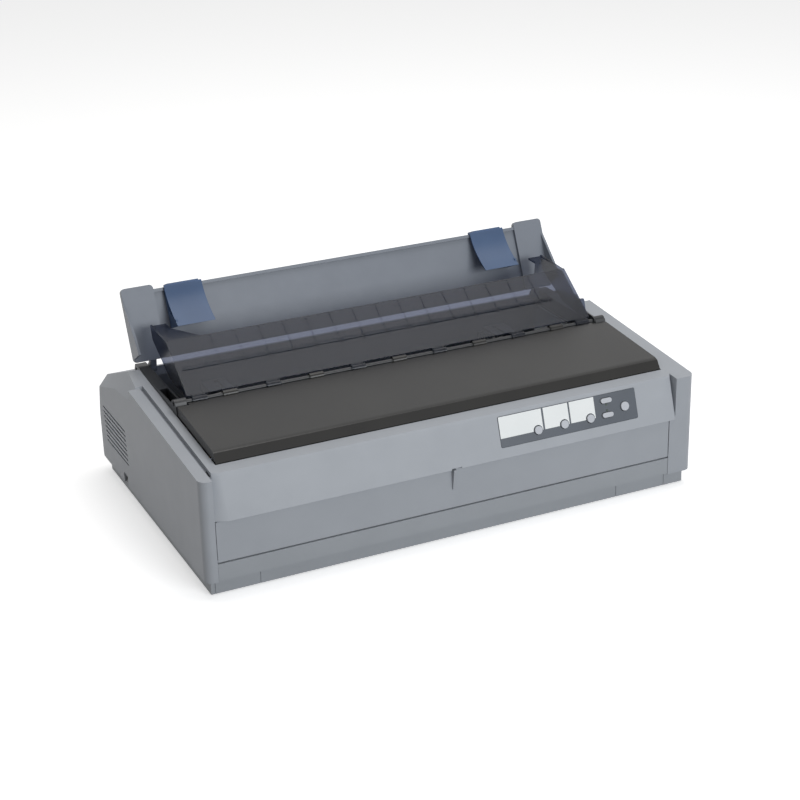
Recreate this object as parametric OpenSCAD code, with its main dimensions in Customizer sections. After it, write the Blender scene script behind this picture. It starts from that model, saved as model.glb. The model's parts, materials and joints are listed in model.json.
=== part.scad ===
// Wide-carriage dot matrix printer, modelled as it comes apart on a bench.
// +X runs to the user's right, +Y to the back, +Z up. The origin lies on the
// table, under the middle of the case. All sizes are in millimetres.

/* [Case] */
// Overall width over the side walls
case_w = 639; // [600:1:660]
// Overall depth from the fascia's front lip to the back wall
case_d = 402; // [395:1:430]
// Thickness of the moulded case walls
wall = 3; // [2:0.25:4]
// Radius of the upright corners of the case
corner_r = 10; // [6:1:14]
// Height of the upper case's lower edge above the table
skirt_z = 20; // [18:0.5:24]
// How far the base stands in from the upper case at each side
base_inset = 7.5; // [6:0.5:12]
// Height of the deck above the table at the front
deck_z = 146.5; // [143:0.5:150]
// Slope of the deck and the side rims, in degrees
deck_slope = 3.9; // [3.4:0.1:4.4]
// Distance from the back wall to the ridge of the top
ridge_back = 101; // [96:1:106]
// Height of the back wall's upper edge
back_z = 135; // [130:1:140]
// How far the back wall leans forward from its foot to its upper edge
back_lean = 20; // [10:1:24]
// Width of the outer ledge beside the left rim
ledge_w = 14.5; // [10:0.5:18]
// Drop of the outer ledge below the rim
ledge_drop = 2; // [1:0.5:4]
// Width of the groove between ledge and rim
groove_w = 4; // [3:0.5:5]

/* [Front] */
// Set-back of the side pillars behind the fascia's lip
pillar_back = 5.6; // [4:0.2:8]
// Width of the left front pillar
pillar_left_w = 14.5; // [13:0.5:17]
// Width of the right front pillar
pillar_right_w = 34.5; // [32:0.5:36]
// Overlap of the fascia's right end over the right pillar
fascia_over = 8; // [6:0.5:12]
// Width of the fascia's left end, which turns back to the pillar
fascia_turn_w = 15; // [10:0.5:18]
// Height of the fascia's lower edge
fascia_z = 95.5; // [92:0.5:98]
// Set-back of the fascia's upper edge behind its lip
fascia_rake = 16; // [12:0.2:18]
// Set-back of the front cover behind the fascia's lip
front_cover_back = 6; // [5.8:0.2:7]
// Height of the front cover's lower edge
front_cover_z = 43; // [40:0.5:46]
// Gap round the front cover
front_gap = 0.8; // [0.5:0.1:1.2]

/* [Top opening and covers] */
// Half width of the opening in the top
opening_hw = 290; // [284:1:292]
// Set-back of the opening's front edge behind the fascia's lip
opening_back = 35.5; // [34:0.5:40]
// Extra width of the opening's rear part at its right side
notch_w = 7; // [5:0.5:9]
// Distance from the back wall to the opening's rear edge
opening_rear = 79; // [76:1:84]
// Thickness of the smoked covers
cover_t = 2.5; // [2:0.25:3]
// Height of the hinge rod above the table
rod_z = 169; // [167:0.5:172]
// Distance of the hinge rod behind the fascia's lip
rod_back = 173.6; // [170:0.2:178]
// Radius of the hinge rod
rod_r = 2.8; // [2.5:0.1:3]
// Depth of the printer cover's steep front lip
lip_d = 13.5; // [11:0.5:18]
// Rise of the printer cover's bend above the deck
bend_rise = 11.4; // [9:0.2:13]
// Half width of the guide cover
flap_hw = 272; // [268:1:273]
// Depth of the guide cover's window from rod to top edge
flap_d = 70; // [60:1:76]
// Rise of the guide cover's top edge above the rod
flap_rise = 49; // [42:1:54]
// Depth of the end gussets behind the guide cover's top edge
gusset_d = 58; // [40:1:60]
// Width of the end gussets
gusset_w = 20; // [14:1:24]
// Number of upright ribs on the guide cover
flap_ribs = 15; // [9:2:19]

/* [Paper guide] */
// Lean of the raised paper guide from the upright, in degrees
guide_lean = 23.5; // [20:0.5:27]
// Height of the guide's middle panel along its lean
guide_h = 85.5; // [80:0.5:100]
// Extra height of the end wings over the middle panel
wing_over = 6; // [2:1:8]
// Half width over the wings
guide_hw = 293; // [280:1:296]
// Width of each wing
wing_w = 41; // [32:1:48]
// Thickness of the guide's panel
guide_t = 3; // [2:0.5:4]
// Distance from the back wall to the guide's pivot
guide_pivot_back = 87; // [85:1:90]
// Radius of the guide's pivot pins
guide_pin_r = 3; // [2.5:0.1:3.5]
// Width of each edge guide
edge_w = 49; // [38:1:56]
// Place of the left edge guide's outer side
edge_left_x = -239; // [-245:1:-200]
// Place of the right edge guide's outer side
edge_right_x = 234; // [200:1:240]
// Reach of the edge guides' fins in front of the panel
edge_reach = 27; // [18:1:32]

/* [Paper transport] */
// Radius of the platen
platen_r = 18; // [16:0.5:19]
// Half length of the platen
platen_hl = 228; // [215:1:235]
// Height of the platen's axis
platen_z = 118; // [116:0.5:120]
// Distance of the platen's axis behind the fascia's lip
platen_back = 222; // [220:1:224]
// Radius of the platen's shaft
platen_shaft_r = 5; // [4:0.5:6]
// Radius of the platen knob
knob_r = 18; // [14:1:20]
// Module of the gear teeth
gear_module = 1.5; // [1.5:0.1:1.5]
// Teeth of the platen gear, a multiple of four
platen_teeth = 32; // [32:4:32]
// Teeth of the feed pinion and of the idler gear
idler_teeth = 12; // [12:4:12]
// Teeth of the tractor gear
tractor_teeth = 24; // [24:4:24]
// Width of the gears
gear_w = 6; // [4:0.5:8]
// Width across the flats of the tractors' square shaft
square_shaft = 6; // [5:0.5:7]
// Place of each tractor's middle from the centre
tractor_x = 196; // [150:1:200]
// Width of each tractor
tractor_w = 26; // [22:1:30]
// Radius of the tractors' pin wheels
sprocket_r = 10; // [9:0.5:11]

/* [Carriage] */
// Radius of the carriage rod
carriage_rod_r = 6; // [5:0.5:7]
// Distance of the carriage rod in front of the platen's axis
carriage_rod_fore = 62; // [58:1:66]
// Height of the carriage rod
carriage_rod_z = 92; // [88:1:94]
// Half width of the print-head carriage
carriage_hw = 30; // [26:1:36]
// Radius of the belt pulleys
pulley_r = 9; // [8:0.5:10]
// Place of the belt pulleys from the centre
pulley_x = 244; // [236:1:250]

/* [Control panel] */
// Width of the control panel
panel_w = 187; // [170:1:200]
// Height of the control panel along the fascia
panel_h = 37; // [35:1:40]
// Place of the control panel's left edge
panel_x = 51; // [40:1:60]
// Distance of the panel's lower edge above the fascia's lip
panel_up = 12.5; // [10:0.5:13]
// Radius of the small round buttons
button_r = 5; // [4:0.25:6]
// Travel of every button
button_travel = 1.5; // [1:0.25:2]
// Height of the buttons over the panel
button_proud = 2; // [1.8:0.2:3]

/* [Fits] */
// Radial clearance of shafts and pins in their bores
run_fit = 0.05; // [0.02:0.01:0.1]
// Gap between pieces that move past each other
move_gap = 0.6; // [0.4:0.1:1]
// Gap between pieces that only lie beside each other
seat_gap = 0.3; // [0.2:0.1:0.5]

/* [Hidden] */
$fn = 48;
cut = 1;

// Case: the faces and lines that everything else is placed from
half_w = case_w / 2;
front_y = -case_d / 2;
back_y = case_d / 2;
pillar_y = front_y + pillar_back;
ridge_y = back_y - ridge_back;
ridge_z = deck_z + (ridge_y - pillar_y) * tan(deck_slope);
back_top_y = back_y - back_lean;
rear_slope = atan((ridge_z - back_z) / (back_top_y - ridge_y));
opening_y0 = front_y + opening_back;
opening_y1 = back_y - opening_rear;
rim_t = 12;
base_hw = half_w - base_inset;
base_y0 = front_y + 14.6;
base_y1 = back_y - 14;
foot_h = 1.5;
facet_w = 14.7;
facet_z = back_z + 7;
facet_y = ridge_y + 14;
ledge_end_y = ridge_y - 46;
front_x0 = -half_w + pillar_left_w;
front_x1 = half_w - pillar_right_w;
fascia_x1 = front_x1 + fascia_over;
cover_plane_y = front_y + front_cover_back;

function top_z(y) = deck_z + (y - pillar_y) * tan(deck_slope);
function rear_z(y) = ridge_z - (y - ridge_y) * tan(rear_slope);

// Covers
rod_y = front_y + rod_back;
lip_top_y = opening_y0 + lip_d;
lip_z = top_z(opening_y0) + 0.6;
bend_z = top_z(lip_top_y) + bend_rise;
knuckle_r = rod_r + 2.2;
cover_hw = opening_hw - 1;
rail_x0 = 274;
rail_x1 = opening_hw - seat_gap;

// Paper guide
guide_pivot_y = back_y - guide_pivot_back;
guide_pivot_z = rear_z(guide_pivot_y);
guide_back_w = 4.5;
guide_front_w = guide_back_w + guide_t;
guide_foot = 8;

// Fascia: its sloping face, with u to the right and v up the slope
fascia_top_y = front_y + fascia_rake;
fascia_tilt = atan(fascia_rake / (deck_z - fascia_z));

// Paper transport
frame_x = half_w - 47.5;
frame_t = 2;
frame_y0 = -128;
frame_y1 = 118;
platen_y = front_y + platen_back;
gear_x = -half_w + 19.5;
mesh_r = gear_module * (platen_teeth + idler_teeth) / 2;
idler_y = platen_y + mesh_r;
tractor_y = idler_y + gear_module * (idler_teeth + tractor_teeth) / 2;
pinion_angle = 18 * 360 / platen_teeth;
pinion_y = platen_y + mesh_r * cos(pinion_angle);
pinion_z = platen_z + mesh_r * sin(pinion_angle);
guide_shaft_r = 3;
guide_shaft_z = platen_z - 26;
pinch_r = 7;
pinch_y = platen_y - 8;
pinch_z = platen_z - sqrt(pow(platen_r + pinch_r + seat_gap, 2) - pow(platen_y - pinch_y, 2));
knob_recess_r = knob_r + 4;
knob_w = 15;

// Carriage
carriage_rod_y = platen_y - carriage_rod_fore;
belt_z = carriage_rod_z - 19;
belt_y = carriage_rod_y - 4;
belt_t = 1.2;
belt_h = 6;
rail_y = carriage_rod_y - 40;
rail_z = carriage_rod_z + 2;
ribbon_y = platen_y - platen_r - 1.8;
ribbon_h = 12;
cartridge_hw = platen_hl + 16;

// Control panel: button places along the panel (u) and up it (v)
panel_t = 2;
small_buttons = [50.7, 86.4, 122.1];
small_button_v = 11.6;
pause_u = 170.5;
pause_v = 17.5;
pause_r = 5.5;
pill_u = 146;
pill_w = 15;
pill_h = 6;
pill_v = [11.6, 29.1];
pill_lamp_v = [16.9, 23.8];
lamp_v = 33.8;
lamp_rows = [[26.1, 3], [63, 3], [98.6, 2]];
lamp_pitch = 5.5;
lamp_size = 2;

// ---------------------------------------------------------------- helpers

// Extrudes a y-z outline along X from x0 to x1
module along_x(x0, x1) {
    translate([x0, 0, 0]) rotate([90, 0, 90]) linear_extrude(x1 - x0) children();
}

// A cylinder along X
module bar_x(x0, x1, y, z, r) {
    translate([x0, y, z]) rotate([0, 90, 0]) cylinder(r = r, h = x1 - x0);
}

// A box given by its corners
module block(a, b) {
    translate(a) cube(b - a);
}

// The child and its mirror image at the other side
module both_sides() {
    children();
    mirror([1, 0, 0]) children();
}

// A rounded rectangle about the origin
module round_rect(w, h, r) {
    square([w - 2 * r, h], center = true);
    square([w, h - 2 * r], center = true);
    for (sx = [-1, 1], sy = [-1, 1]) translate([sx * (w / 2 - r), sy * (h / 2 - r)]) circle(r);
}

// A bar with round ends about the origin
module pill(w, h) {
    square([w - h, h], center = true);
    for (sx = [-1, 1]) translate([sx * (w - h) / 2, 0]) circle(h / 2);
}

// Everything on the far side of a plane through three points
module beyond(a, b, c) {
    n = cross(b - a, c - a);
    translate(a) rotate([0, acos(n.z / norm(n)), atan2(n.y, n.x)])
        translate([-400, -400, 0]) cube([800, 800, 300]);
}

// The fascia's own frame: x along it, y up the slope from the lip, z out of it
module on_fascia() {
    translate([0, front_y, fascia_z]) rotate([90 - fascia_tilt, 0, 0]) children();
}

// The raised paper guide's own frame: z up its lean, -y out of its front
module on_guide() {
    translate([0, guide_pivot_y, guide_pivot_z]) rotate([-guide_lean, 0, 0]) children();
}

// A spur gear about the origin, with a tooth along +x
module gear_outline(teeth) {
    pitch_r = gear_module * teeth / 2;
    root_r = pitch_r - 1.2 * gear_module;
    tip_r = pitch_r + 0.85 * gear_module;
    pitch_w = PI * gear_module;
    circle(root_r);
    for (i = [0 : teeth - 1]) rotate(i * 360 / teeth)
        polygon([
            [root_r - 0.5, -0.29 * pitch_w], [pitch_r, -0.215 * pitch_w], [tip_r, -0.10 * pitch_w],
            [tip_r, 0.10 * pitch_w], [pitch_r, 0.215 * pitch_w], [root_r - 0.5, 0.29 * pitch_w]
        ]);
}

// A gear on an axis along X, bored and turned by phase degrees in the y-z plane
module gear_x(x, y, z, teeth, phase, bore) {
    translate([x, y, z]) rotate([90, 0, 90]) linear_extrude(gear_w) difference() {
        rotate(phase) gear_outline(teeth);
        circle(bore);
    }
}

// ---------------------------------------------------------------- casing

module case_side_outline() {
    polygon([
        [pillar_y, skirt_z], [pillar_y, top_z(pillar_y)], [ridge_y, ridge_z], [back_top_y, back_z],
        [back_y, skirt_z + 17], [back_y - 10, skirt_z]
    ]);
}

module case_cavity() {
    difference() {
        along_x(-half_w + wall, half_w - wall)
            polygon([
                [pillar_y + wall, skirt_z - cut], [pillar_y + wall, top_z(pillar_y) - rim_t],
                [ridge_y, ridge_z - rim_t], [back_top_y - wall, back_z - rim_t],
                [back_y - wall, skirt_z + 17], [back_y - 10 - wall, skirt_z - cut]
            ]);
        // the walls keep their thickness behind the rear facets
        both_sides() translate([-wall - 1, 0, -wall]) rear_facet_cut(ledge_drop);
    }
}

// The fascia's outline, and the hollow behind its face at a given depth
module fascia_outline() {
    polygon([
        [front_y, fascia_z], [fascia_top_y, deck_z - 1.5], [fascia_top_y + 1.5, top_z(fascia_top_y)],
        [opening_y0, top_z(opening_y0)], [opening_y0, fascia_z]
    ]);
}

module fascia_hollow(x0, x1, depth) {
    along_x(x0, x1) polygon([
        [front_y + depth + 1, fascia_z + wall], [fascia_top_y + depth - 1, deck_z - 1.5 - wall],
        [opening_y0 + cut, top_z(opening_y0) - wall], [opening_y0 + cut, fascia_z - cut],
        [cover_plane_y + 8, fascia_z - cut], [cover_plane_y + 8, fascia_z + wall]
    ]);
}

// The moulded fascia, whose ends turn back towards the pillars
module fascia() {
    turn_x = front_x0 + fascia_turn_w;
    right_x = fascia_x1 - 4;
    difference() {
        along_x(front_x0 - cut, fascia_x1 + cut) fascia_outline();
        fascia_hollow(turn_x + 3, fascia_x1 - 7, wall);
        fascia_hollow(front_x0 + wall, turn_x + 3.01, wall + pillar_back);
        beyond([turn_x, front_y, fascia_z], [turn_x, fascia_top_y, deck_z],
            [front_x0, pillar_y, fascia_z]);
        beyond([right_x, front_y, fascia_z], [fascia_x1, pillar_y, fascia_z],
            [right_x, fascia_top_y, deck_z]);
    }
}

module rear_facet_cut(drop) {
    ridge_pt = [half_w - facet_w, ridge_y, ridge_z + 0.01];
    valley_pt = [half_w + 0.01, facet_y, facet_z];
    ledge_pt = [half_w + 0.01, ledge_end_y, top_z(ledge_end_y) - drop];
    intersection() {
        block([half_w - facet_w - 8, ledge_end_y, facet_z - 30], [half_w + 10, back_y + 10, ridge_z + 20]);
        union() {
            beyond(ridge_pt, ledge_pt, valley_pt);
            beyond(ridge_pt, valley_pt, [half_w + 0.01, back_top_y - 5, back_z]);
        }
    }
}

module louvres() {
    slot_h = 2.4;
    for (i = [0 : 7]) {
        z = 51 + 6.2 * i;
        block([-half_w - cut, 80 + 0.6 * i, z], [-half_w + wall + cut, 168 + i, z + slot_h]);
    }
}

module upper_case() {
    color("#8e949a") difference() {
        union() {
            difference() {
                intersection() {
                    along_x(-half_w, half_w) case_side_outline();
                    linear_extrude(ridge_z + 20) translate([0, (pillar_y + back_y) / 2])
                        round_rect(case_w, back_y - pillar_y, corner_r);
                }
                case_cavity();
                // the front between the pillars is the fascia and the front cover
                block([front_x0, pillar_y - cut, skirt_z - cut], [front_x1, opening_y0, ridge_z + 20]);
                block([front_x1 - cut, pillar_y - cut, fascia_z + 1], [fascia_x1, opening_y0, ridge_z + 20]);
            }
            fascia();
            // inner flanges of the pillars, beside the front cover and the fascia
            block([front_x0 - wall, pillar_y + 1, skirt_z], [front_x0, pillar_y + flange_d, deck_z - 1]);
            block([front_x1, pillar_y + 1, skirt_z], [front_x1 + wall, pillar_y + flange_d, fascia_z + 10]);
            block([fascia_x1, pillar_y + 1, fascia_z + 1],
                [fascia_x1 + wall, pillar_y + flange_d, deck_z - 1]);
            // lugs that hold the power rocker's pin
            for (y = [switch_y - switch_d / 2 - 3, switch_y + switch_d / 2])
                block([-half_w + 1, y, skirt_z], [-half_w + 9, y + 3, skirt_z + switch_h + 2]);
            // bosses for the screws that come up through the base
            for (p = screw_places) {
                translate([p.x, p.y, foot_h + 4]) cylinder(r = 5, h = 50);
                block([min(p.x, sign(p.x) * (half_w - 1)), p.y - 1, 34],
                    [max(p.x, sign(p.x) * (half_w - 1)), p.y + 1, foot_h + 54]);
            }
        }
        for (p = screw_places) translate([p.x, p.y, 0]) cylinder(r = screw_r, h = 20);
        translate([rocker_x, switch_y + 30, rocker_z]) rotate([90, 0, 0])
            cylinder(r = rocker_pin_r + run_fit, h = 60);
        bar_x(front_x0 - wall - cut, front_x0 + cut, front_pivot_y, front_pivot_z, front_pin_r + run_fit);
        bar_x(front_x1 - cut, front_x1 + wall + cut, front_pivot_y, front_pivot_z, front_pin_r + run_fit);
        // the top opening
        block([-opening_hw, opening_y0, top_z(opening_y0) - 40], [opening_hw, opening_y1, ridge_z + 20]);
        // the right side of the opening is wider behind the printer cover's middle
        block([opening_hw - cut, notch_y, top_z(notch_y) - rim_t],
            [opening_hw + notch_w, opening_y1, ridge_z + 20]);
        // ledge and groove of the left side, and the rear facets of both
        rear_facet_cut(0);
        mirror([1, 0, 0]) {
            rear_facet_cut(ledge_drop);
            along_x(half_w - ledge_w, half_w + cut)
                polygon([
                    [pillar_y - cut, top_z(pillar_y) - ledge_drop],
                    [ledge_end_y, top_z(ledge_end_y) - ledge_drop],
                    [ledge_end_y + 6, ridge_z + 20], [pillar_y - cut, ridge_z + 20]
                ]);
            along_x(half_w - ledge_w - groove_w, half_w - ledge_w + 0.01)
                polygon([
                    [pillar_y - cut, top_z(pillar_y) - ledge_drop - 4],
                    [ledge_end_y, top_z(ledge_end_y) - ledge_drop - 4],
                    [ledge_end_y + 8, ridge_z + 20], [pillar_y - cut, ridge_z + 20]
                ]);
        }
        louvres();
        // power switch cut-out in the left wall, and the knob's well in the right
        block([-half_w - cut, switch_y - switch_d / 2, skirt_z - cut],
            [-half_w + wall + cut, switch_y + switch_d / 2, skirt_z + switch_h]);
        bar_x(half_w - wall - cut, half_w + cut, platen_y, platen_z, knob_recess_r);
        // control panel seat, button holes and the notch above the cover's tab
        on_fascia() {
            translate([panel_x + panel_w / 2, panel_up + panel_h / 2, -panel_t]) linear_extrude(8)
                round_rect(panel_w + 2 * seat_gap, panel_h + 2 * seat_gap, 2);
            for (u = small_buttons) panel_hole(u, small_button_v) circle(button_r + move_gap);
            panel_hole(pause_u, pause_v) circle(pause_r + move_gap);
            for (v = pill_v) panel_hole(pill_u, v) pill(pill_w + 2 * move_gap, pill_h + 2 * move_gap);
        }
        block([tab_x - 5, front_y - cut, fascia_z - cut], [tab_x + 8, front_y + 10, fascia_z + 1.5]);
        // rear bays for the interface sockets and the power inlet
        block([port_x0, bay_y, port_z0], [port_x1, back_y + cut, port_z1]);
        block([inlet_x - inlet_w / 2, bay_y, inlet_z - inlet_h / 2],
            [inlet_x + inlet_w / 2, back_y + cut, inlet_z + inlet_h / 2]);
    }
    // the round well that the platen knob sits in
    color("#8e949a") difference() {
        bar_x(half_w - wall - knob_w, half_w - wall + 0.01, platen_y, platen_z, knob_recess_r + 2);
        bar_x(half_w - wall - knob_w + 2, half_w, platen_y, platen_z, knob_recess_r);
        bar_x(half_w - wall - knob_w - cut, half_w, platen_y, platen_z, platen_shaft_r + 2);
    }
}

module panel_hole(u, v) {
    translate([panel_x + u, panel_up + v, -8]) linear_extrude(16) children();
}

flange_d = 20;
notch_y = -52;
bay_y = back_y - 15;
switch_y = 97;
switch_d = 15;
switch_h = 13;
rocker_x = -half_w + 5.5;
rocker_z = skirt_z + 6.5;
rocker_pin_r = 1.2;
tab_x = -11;
tab_reach = 5;
port_x0 = 150;
port_x1 = 262;
port_z0 = 44;
port_z1 = 74;
inlet_x = -262;
inlet_w = 30;
inlet_h = 24;
inlet_z = 58;
inlet_y = back_y - 3;

module lower_case() {
    floor_t = 3;
    rim_z = skirt_z + 9;
    strip_z = skirt_z + 1;
    strip_top = front_cover_z - front_gap;
    color("#868c91") difference() {
        union() {
            along_x(-base_hw, base_hw)
                polygon([
                    [base_y0, foot_h], [base_y0, skirt_z - 0.5], [base_y0 + wall, skirt_z - 0.5],
                    [base_y0 + wall, foot_h + floor_t], [base_y1, foot_h + floor_t], [base_y1, foot_h]
                ]);
            // the strip between the pillars, below the front cover
            along_x(front_x0 + seat_gap, front_x1 - seat_gap)
                polygon([
                    [cover_plane_y, strip_z], [cover_plane_y, strip_top], [cover_plane_y + wall, strip_top],
                    [cover_plane_y + wall, strip_z + 2.5], [base_y0 + 2, strip_z + 2.5],
                    [base_y0 + 2, skirt_z - 5], [base_y0 + 0.5, skirt_z - 5], [base_y0 + 0.5, strip_z]
                ]);
            // side walls, higher behind the pillars
            both_sides() {
                block([base_hw - wall, base_y0 + 1, foot_h + 1], [base_hw, base_y1 - 1, skirt_z - 0.8]);
                block([base_hw - wall, base_y0 + 36, skirt_z - 4], [base_hw, base_y1 - 1, rim_z]);
            }
            block([-base_hw, base_y1 - wall, foot_h + 1], [base_hw, base_y1, rim_z]);
        }
        // seams between the base and its front corner pieces
        for (x = seam_places)
            block([x - 0.4, base_y0 - cut, -cut], [x + 0.4, base_y0 + 0.8, skirt_z - 2]);
        // recesses for the feet
        for (p = foot_places) translate([p.x, p.y, -cut]) cylinder(r = foot_r + seat_gap, h = cut + 3);
        for (p = screw_places) translate([p.x, p.y, 0]) {
            cylinder(r = screw_r + 0.3, h = 10);
            cylinder(r = 4.3, h = foot_h + 1.4);
        }
        // cut-out for the power switch
        block([-base_hw - cut, switch_y - switch_d / 2 - 4, skirt_z - 1],
            [-base_hw + wall + cut, switch_y + switch_d / 2 + 4, rim_z + cut]);
    }
}

seam_places = [front_x0 - 2, front_x0 + 52.5, front_x1 - 69, front_x1];
screw_x = base_hw - 10;
screw_places = [[-screw_x, -130], [screw_x, -130], [-screw_x, 150], [screw_x, 150]];
screw_r = 2;
front_pin_r = 2;
front_pivot_y = cover_plane_y + 2.5;
front_pivot_z = front_cover_z + 2.5;
foot_r = 11;
foot_x = base_hw - 42;
foot_places = [[-foot_x, -160], [foot_x, -160], [-foot_x, 165], [foot_x, 165]];

module rubber_feet() {
    color("#1d1e20") for (p = foot_places) translate([p.x, p.y, 0]) {
        cylinder(r = foot_r - 1.5, h = 1);
        translate([0, 0, 1]) cylinder(r = foot_r, h = 2);
    }
}

module front_cover() {
    top = fascia_z - 1.5;
    x0 = front_x0 + front_gap;
    x1 = front_x1 - front_gap;
    color("#8b9197") {
        along_x(x0, x1) polygon([
            [cover_plane_y, front_cover_z + 1.5], [cover_plane_y, top], [cover_plane_y + wall, top],
            [cover_plane_y + wall, front_cover_z + 8], [cover_plane_y + 5, front_cover_z + 6],
            [cover_plane_y + 5, front_cover_z + 1], [cover_plane_y + 4, front_cover_z],
            [cover_plane_y + 1.5, front_cover_z]
        ]);
        // stiffening ribs behind both ends
        for (x = [x0 + 3.5, x1 - 6]) along_x(x, x + 2.5) polygon([
            [cover_plane_y + 1, front_cover_z + 2], [cover_plane_y + 1, top - 2],
            [cover_plane_y + 8, top - 8], [cover_plane_y + 8, front_cover_z + 6],
            [cover_plane_y + 4, front_cover_z + 2]
        ]);
        // the finger tab under the fascia's middle
        along_x(tab_x - 2, tab_x + 2) polygon([
            [cover_plane_y + 0.5, fascia_z - 28], [cover_plane_y - 1.5, fascia_z - 27],
            [cover_plane_y - tab_reach, fascia_z - 5], [cover_plane_y - tab_reach, fascia_z - 1.5],
            [cover_plane_y + 0.5, fascia_z - 1.5]
        ]);
        // pivot pins at both ends
        bar_x(front_x0 - wall + 0.5, x0 + 8, front_pivot_y, front_pivot_z, front_pin_r);
        bar_x(x1 - 8, front_x1 + wall - 0.5, front_pivot_y, front_pivot_z, front_pin_r);
    }
}

// ---------------------------------------------------------------- covers

module knuckle(x, w) {
    bar_x(x - w / 2, x + w / 2, rod_y, rod_z, knuckle_r);
}

cover_knuckles = [-220, -110, 0, 110, 220];
flap_knuckles = [for (s = [-1, -0.64, -0.213, 0.213, 0.64, 1]) s * (flap_hw - 14)];
rod_bore_hw = opening_hw + 10;
knuckle_w = 18;

module printer_cover() {
    rear_y = rod_y - knuckle_r - 0.8;
    rear_top = rod_z + 0.5;
    bend_y = lip_top_y;
    side_y = rear_y;
    top_hw = cover_hw - 2.5;
    color("#4a4a48") difference() {
        union() {
            // the top sheet and its steep front lip
            along_x(-top_hw, top_hw) polygon([
                [opening_y0 + 1, lip_z], [bend_y - 5.5, bend_z - 1.8], [bend_y, bend_z],
                [rear_y, rear_top], [rear_y, rear_top - cover_t], [bend_y, bend_z - cover_t],
                [bend_y - 4.5, bend_z - 4], [opening_y0 + 1 + cover_t, lip_z]
            ]);
            // the sloping sides, down to the rims
            both_sides() intersection() {
                cover_side_sheet(top_hw, rear_y, bend_y);
                along_x(top_hw - 1, cover_hw) polygon([
                    [opening_y0 + 1.01, lip_z], [bend_y - 5.5, bend_z - 1.81], [bend_y, bend_z - 0.01],
                    [rear_y - 0.01, rear_top - 0.01], [rear_y - 0.01, top_z(rear_y) + 0.6]
                ]);
            }
            for (x = cover_knuckles) {
                knuckle(x, knuckle_w);
                block([x - knuckle_w / 2, rear_y - 1, rod_z - 2],
                    [x + knuckle_w / 2, rod_y - rod_r - 1, rod_z + 0.5]);
            }
        }
        bar_x(-rod_bore_hw, rod_bore_hw, rod_y, rod_z, rod_r + run_fit);
        // corners cut away for the hinge rails
        both_sides() block([rail_x0, rod_y - 10 - move_gap, rod_z - 40], [half_w, rod_y + 20, rod_z + 20]);
    }
}

// One side wall of the printer cover, leaning out and following the rim
module cover_side_sheet(top_hw, rear_y, bend_y) {
    rise = rod_z - top_z(rear_y);
    translate([0, rear_y, 0]) rotate([90, 0, 0]) linear_extrude(rear_y - opening_y0 + 2)
        polygon([
            [top_hw - 0.5, rod_z + 8], [top_hw - 0.5, rod_z - cover_t - 22],
            [cover_hw - cover_t, top_z(rear_y) - 14], [cover_hw, top_z(rear_y) - 14],
            [cover_hw, top_z(rear_y) + 0.5], [top_hw + 2, rod_z + 0.3], [top_hw + 2, rod_z + 8]
        ]);
}

function rib_x(i) = -flap_hw + 55 + i * (2 * flap_hw - 110) / (flap_ribs - 1);

module guide_cover() {
    slope = atan(flap_rise / flap_d);
    top_y = rod_y + flap_d;
    top_zz = rod_z + flap_rise;
    base = knuckle_r + 0.6;
    len = norm([flap_d, flap_rise]);
    color("#565a60") difference() {
        union() {
            // the sloping window, with its bead and its upright ribs
            translate([0, rod_y, rod_z]) rotate([slope, 0, 0]) {
                block([-flap_hw, base, 0], [flap_hw, len, cover_t]);
                for (i = [-1 : flap_ribs - 1])
                    bar_x(i < 0 ? -flap_hw + 8 : rib_x(i) + 1.5,
                        i < flap_ribs - 1 ? rib_x(i + 1) - 1.5 : flap_hw - 40,
                        len * 0.5, cover_t - 0.4, 2.4);
                for (i = [0 : flap_ribs - 1]) translate([rib_x(i), 0, 0])
                    block([-0.6, len * 0.44, cover_t - 0.5], [0.6, len - 2, cover_t + 0.8]);
                for (x = flap_knuckles)
                    block([x - knuckle_w / 2 + 1, rod_r + 1, -1.5],
                        [x + knuckle_w / 2 - 1, base + 2, cover_t - 0.2]);
            }
            // end cheeks and the gussets on top of them
            both_sides() {
                along_x(flap_hw - cover_t, flap_hw) polygon([
                    [rod_y + base, rod_z + 3], [top_y, top_zz + 1], [top_y + gusset_d, top_zz + 3],
                    [top_y + gusset_d - 6, top_zz - 14], [top_y - 4, rod_z + 6], [rod_y + base + 4, rod_z + 2]
                ]);
                translate([0, 0, top_zz - 1]) linear_extrude(cover_t) polygon([
                    [flap_hw - cover_t, top_y - 1.5], [flap_hw - gusset_w - 26, top_y - 1.5],
                    [flap_hw - gusset_w - 22, top_y + 3], [flap_hw - gusset_w, top_y + gusset_d - 18],
                    [flap_hw - gusset_w, top_y + gusset_d], [flap_hw - cover_t, top_y + gusset_d]
                ]);
            }
            for (x = flap_knuckles) knuckle(x, knuckle_w);
        }
        bar_x(-rod_bore_hw, rod_bore_hw, rod_y, rod_z, rod_r + run_fit);
    }
}

module hinge_rod() {
    color("#26282a") bar_x(-rail_x1 + 2, rail_x1 - 2, rod_y, rod_z, rod_r);
}

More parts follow.
